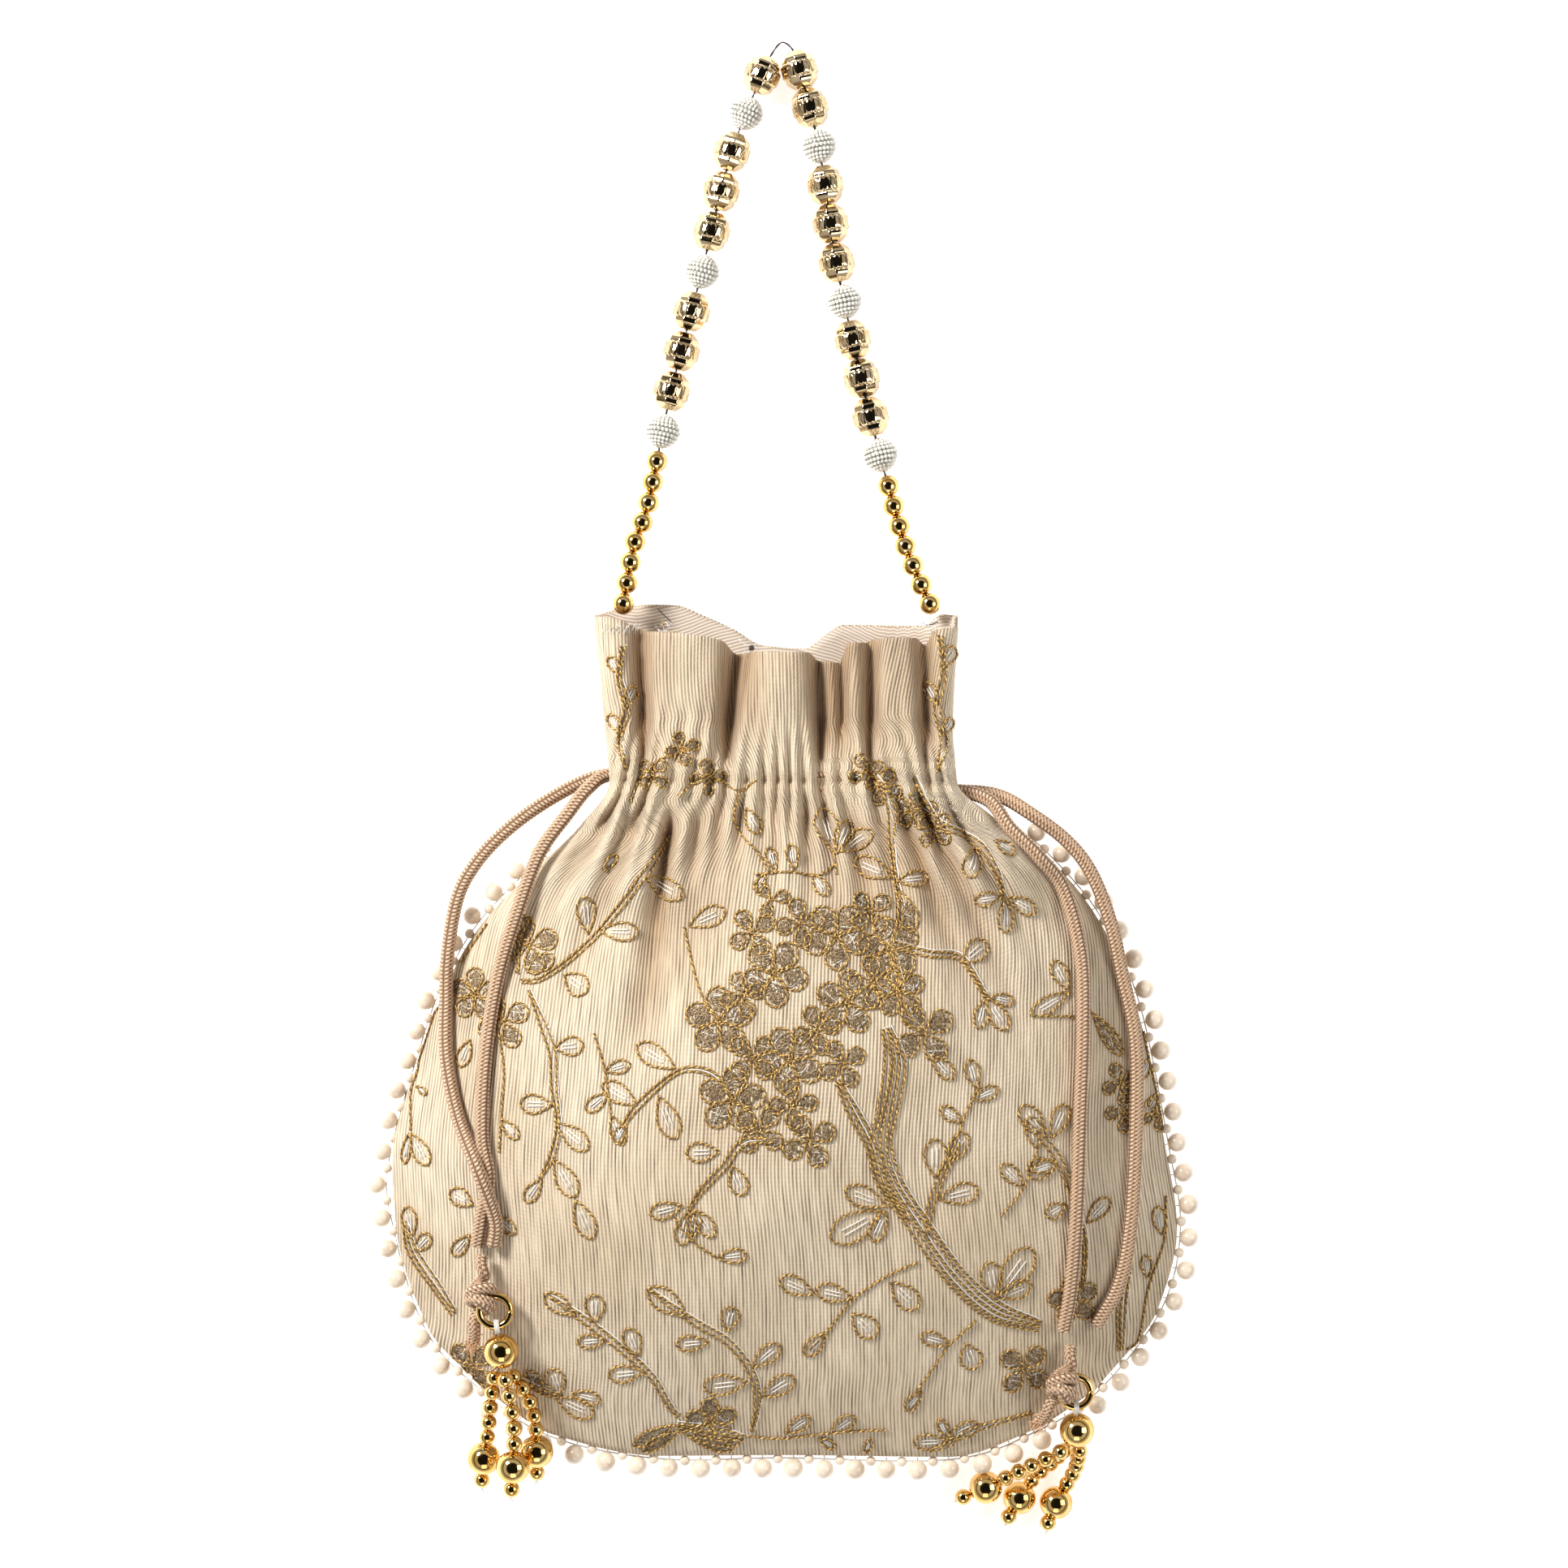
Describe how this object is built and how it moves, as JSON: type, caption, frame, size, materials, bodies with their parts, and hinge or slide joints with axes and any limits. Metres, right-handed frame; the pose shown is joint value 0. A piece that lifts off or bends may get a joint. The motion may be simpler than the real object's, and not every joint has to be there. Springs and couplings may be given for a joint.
{
  "type": "potli bag",
  "caption": "Gathered round drawstring pouch with floral metallic-thread embroidery, pearl edging, beaded loop handle and two tasselled drawcords.",
  "frame": {"origin": "middle of the flat spot on the back panel that the bag rests on", "axes": "+X to the bag's right seen from the front, +Y from the belly to the neck and handle, +Z out of the front"},
  "size_m": [0.2338, 0.4198, 0.046],
  "materials": {
    "cream_cloth": "matte ribbed cloth",
    "lining_cloth": "matte lining cloth",
    "pearl": "pearly",
    "pearl_ball": "clustered small pearls",
    "tan_cord": "braided",
    "bright_gold": "polished gold-coloured",
    "champagne_gold": "polished pale gold-coloured",
    "white_thread": "thread",
    "dark_thread": "thread"
  },
  "bodies": {
    "bag": {"front_panel": "cream_cloth", "back_panel": "cream_cloth", "lining": "lining_cloth", "pearl_edging": "pearl"},
    "handle": {"handle_thread": "dark_thread", "left_faceted_bead_01": "champagne_gold", "left_pearl_bead_02": "pearl_ball", "left_faceted_bead_03": "champagne_gold", "left_faceted_bead_04": "champagne_gold", "left_faceted_bead_05": "champagne_gold", "left_pearl_bead_06": "pearl_ball", "left_faceted_bead_07": "champagne_gold", "left_faceted_bead_08": "champagne_gold", "left_faceted_bead_09": "champagne_gold", "left_pearl_bead_10": "pearl_ball", "left_gold_bead_1": "bright_gold", "left_gold_bead_2": "bright_gold", "left_gold_bead_3": "bright_gold", "left_gold_bead_4": "bright_gold", "left_gold_bead_5": "bright_gold", "left_gold_bead_6": "bright_gold", "left_gold_bead_7": "bright_gold", "left_gold_bead_8": "bright_gold", "right_faceted_bead_01": "champagne_gold", "right_faceted_bead_02": "champagne_gold", "right_pearl_bead_03": "pearl_ball", "right_faceted_bead_04": "champagne_gold", "right_faceted_bead_05": "champagne_gold", "right_faceted_bead_06": "champagne_gold", "right_pearl_bead_07": "pearl_ball", "right_faceted_bead_08": "champagne_gold", "right_faceted_bead_09": "champagne_gold", "right_faceted_bead_10": "champagne_gold", "right_pearl_bead_11": "pearl_ball", "right_gold_bead_1": "bright_gold", "right_gold_bead_2": "bright_gold", "right_gold_bead_3": "bright_gold", "right_gold_bead_4": "bright_gold", "right_gold_bead_5": "bright_gold", "right_gold_bead_6": "bright_gold", "right_gold_bead_7": "bright_gold"},
    "left_cord": {"left_drawcord": "tan_cord", "left_cord_knot": "tan_cord"},
    "left_tassel": {"left_jump_ring": "bright_gold", "left_tassel_thread": "white_thread", "left_tassel_bead": "bright_gold"},
    "right_cord": {"right_drawcord": "tan_cord", "right_cord_knot": "tan_cord"},
    "right_tassel": {"right_jump_ring": "bright_gold", "right_tassel_thread": "white_thread", "right_tassel_bead": "bright_gold"},
    "left_strand_1": {"left_tassel_strand_1": "bright_gold"},
    "left_strand_2": {"left_tassel_strand_2": "bright_gold"},
    "left_strand_3": {"left_tassel_strand_3": "bright_gold"},
    "right_strand_1": {"right_tassel_strand_1": "bright_gold"},
    "right_strand_2": {"right_tassel_strand_2": "bright_gold"},
    "right_strand_3": {"right_tassel_strand_3": "bright_gold"}
  },
  "joints": [
    {"name": "handle_swing", "type": "hinge", "parent": "bag", "child": "handle", "pos_m": [-0.002, 0.1492, 0.013], "axis": [1, 0, 0], "range_deg": [0, 100]},
    {"name": "left_cord_pull", "type": "slide", "parent": "bag", "child": "left_cord", "axis": [-1, 0, 0], "range_m": [0, 0.012]},
    {"name": "left_tassel_swing", "type": "hinge", "parent": "left_cord", "child": "left_tassel", "pos_m": [-0.0797, -0.047, 0.029], "axis": [0, 0, 1], "range_deg": [-12, 0]},
    {"name": "left_strand_1_swing", "type": "hinge", "parent": "left_tassel", "child": "left_strand_1", "pos_m": [-0.07968, -0.06321, 0.0242], "axis": [0, 0, 1], "range_deg": [-12, 0]},
    {"name": "left_strand_2_lift", "type": "hinge", "parent": "left_tassel", "child": "left_strand_2", "pos_m": [-0.07756, -0.0632, 0.0275], "axis": [-0.9969, -0.0791, 0], "range_deg": [0, 40]},
    {"name": "left_strand_3_swing", "type": "hinge", "parent": "left_tassel", "child": "left_strand_3", "pos_m": [-0.07646, -0.06374, 0.0222], "axis": [0, 0, 1], "range_deg": [0, 8]},
    {"name": "right_cord_pull", "type": "slide", "parent": "bag", "child": "right_cord", "axis": [1, 0, 0], "range_m": [0, 0.012]},
    {"name": "right_tassel_swing", "type": "hinge", "parent": "right_cord", "child": "right_tassel", "pos_m": [0.0812, -0.0702, 0.0225], "axis": [0, 0, 1], "range_deg": [0, 25]},
    {"name": "right_strand_1_lift", "type": "hinge", "parent": "right_tassel", "child": "right_strand_1", "pos_m": [0.08329, -0.08625, 0.015], "axis": [-0.9333, 0.359, 0], "range_deg": [0, 40]},
    {"name": "right_strand_2_swing", "type": "hinge", "parent": "right_tassel", "child": "right_strand_2", "pos_m": [0.08012, -0.08719, 0.0095], "axis": [0, 0, 1], "range_deg": [-4, 0]},
    {"name": "right_strand_3_lift", "type": "hinge", "parent": "right_tassel", "child": "right_strand_3", "pos_m": [0.0801, -0.08621, 0.018], "axis": [-0.4874, 0.8732, 0], "range_deg": [0, 40]}
  ]
}
